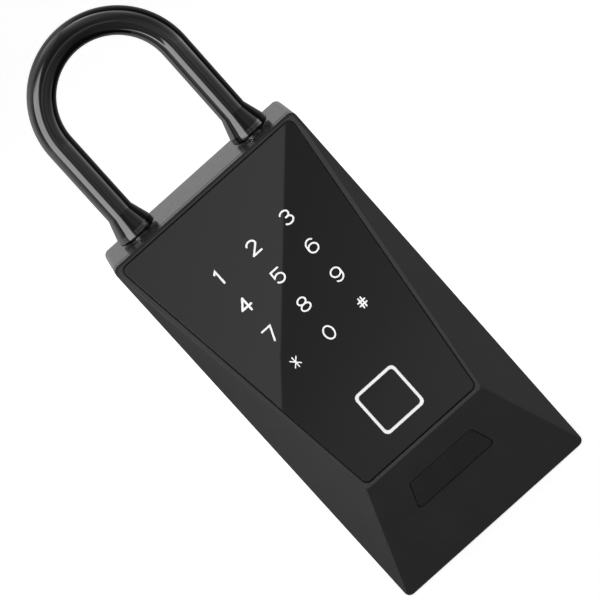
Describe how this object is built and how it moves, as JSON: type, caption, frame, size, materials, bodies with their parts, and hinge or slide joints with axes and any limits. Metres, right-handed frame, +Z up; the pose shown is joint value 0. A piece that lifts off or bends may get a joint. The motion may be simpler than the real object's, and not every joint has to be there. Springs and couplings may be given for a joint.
{
  "type": "smart key safe",
  "caption": "Black portable key safe: faceted door on a bottom hinge with a glass touch panel and fingerprint sensor, motor-driven latch, key compartment and a removable U shackle.",
  "frame": {"origin": "centre of the overall box at the height of the flat base that the safe stands on", "axes": "+Z up from the base to the shackle, -Y out of the touch panel's side, +Y out of the back face, +X to the right seen from the front"},
  "size_m": [0.072, 0.0432, 0.2],
  "materials": {
    "case": "matte fine-textured black powder coat",
    "cover": "matte fine-textured black powder coat",
    "glass": "gloss black-backed glass",
    "light_ring": "frosted white light guide",
    "sensor_black": "satin black",
    "rubber": "matte black",
    "sleeve": "gloss black moulded coating",
    "shackle_steel": "plain hardened steel",
    "inner_plastic": "fine spark-eroded black",
    "steel": "zinc-plated",
    "motor_metal": "nickel-plated can",
    "zinc": "die-cast and tumbled",
    "brass": "machined",
    "board": "solder mask green",
    "cell_wrap": "plain printed wrap",
    "contact": "nickel-plated spring steel",
    "knob": "grey moulded"
  },
  "bodies": {
    "housing": {"rear_housing": "case", "lock_deck": "steel", "deck_screw_1": "steel", "deck_screw_2": "steel", "deck_screw_3": "steel", "deck_screw_4": "steel", "slide_screw_left": "steel", "slide_screw_right": "steel", "hinge_pin": "steel", "shackle_seal_left": "rubber", "shackle_seal_right": "rubber", "back_pad": "rubber", "compartment_liner": "rubber"},
    "door": {"front_cover": "cover", "touch_panel": "glass", "panel_gasket": "rubber", "touch_board": "board", "sensor_ring": "light_ring", "sensor_pad": "sensor_black", "sensor_module": "board", "charge_socket": "steel", "port_board": "board", "inner_cover": "inner_plastic", "door_seal": "rubber", "door_screw_1": "steel", "door_screw_2": "steel", "door_screw_3": "steel", "door_screw_4": "steel", "gearmotor": "motor_metal", "latch_cover": "steel", "battery_cell_1": "cell_wrap", "battery_cell_2": "cell_wrap", "battery_cell_3": "cell_wrap", "battery_cell_4": "cell_wrap", "contacts_low": "contact", "contacts_high": "contact", "main_board": "board", "buzzer": "sensor_black"},
    "shackle": {"shackle_bar": "shackle_steel", "shackle_sleeve": "sleeve"},
    "shackle_lock": {"lock_plate": "zinc", "release_knob": "knob"},
    "bolt": {"latch_bolt": "zinc"},
    "pinion": {"drive_pinion": "brass"},
    "battery_lid": {"battery_cover": "inner_plastic"},
    "port_flap": {"port_cover": "rubber"}
  },
  "joints": [
    {"name": "door_hinge", "type": "hinge", "parent": "housing", "child": "door", "pos_m": [0, -0.00985, 0.0034], "axis": [1, 0, 0], "range_deg": [0, 90]},
    {"name": "shackle_slide", "type": "slide", "parent": "housing", "child": "shackle", "axis": [0, 0, 1], "range_m": [0, 0.018]},
    {"name": "lock_slide", "type": "slide", "parent": "housing", "child": "shackle_lock", "axis": [1, 0, 0], "range_m": [0, 0.0042]},
    {"name": "bolt_slide", "type": "slide", "parent": "door", "child": "bolt", "axis": [0, 0, 1], "range_m": [0, 0.006]},
    {"name": "pinion_spin", "type": "hinge", "parent": "door", "child": "pinion", "pos_m": [0, -0.00605, 0.103], "axis": [1, 0, 0], "range_deg": [0, 96]},
    {"name": "battery_lid_slide", "type": "slide", "parent": "door", "child": "battery_lid", "axis": [0, 1, 0], "range_m": [0, 0.012]},
    {"name": "port_flap_hinge", "type": "hinge", "parent": "door", "child": "port_flap", "pos_m": [0, -0.01804, 0.02012], "axis": [1, 0, 0], "range_deg": [0, 95]}
  ],
  "couplings": [
    {"joint": "pinion_spin", "follows": "bolt_slide", "rad_per_m": 277.78}
  ]
}
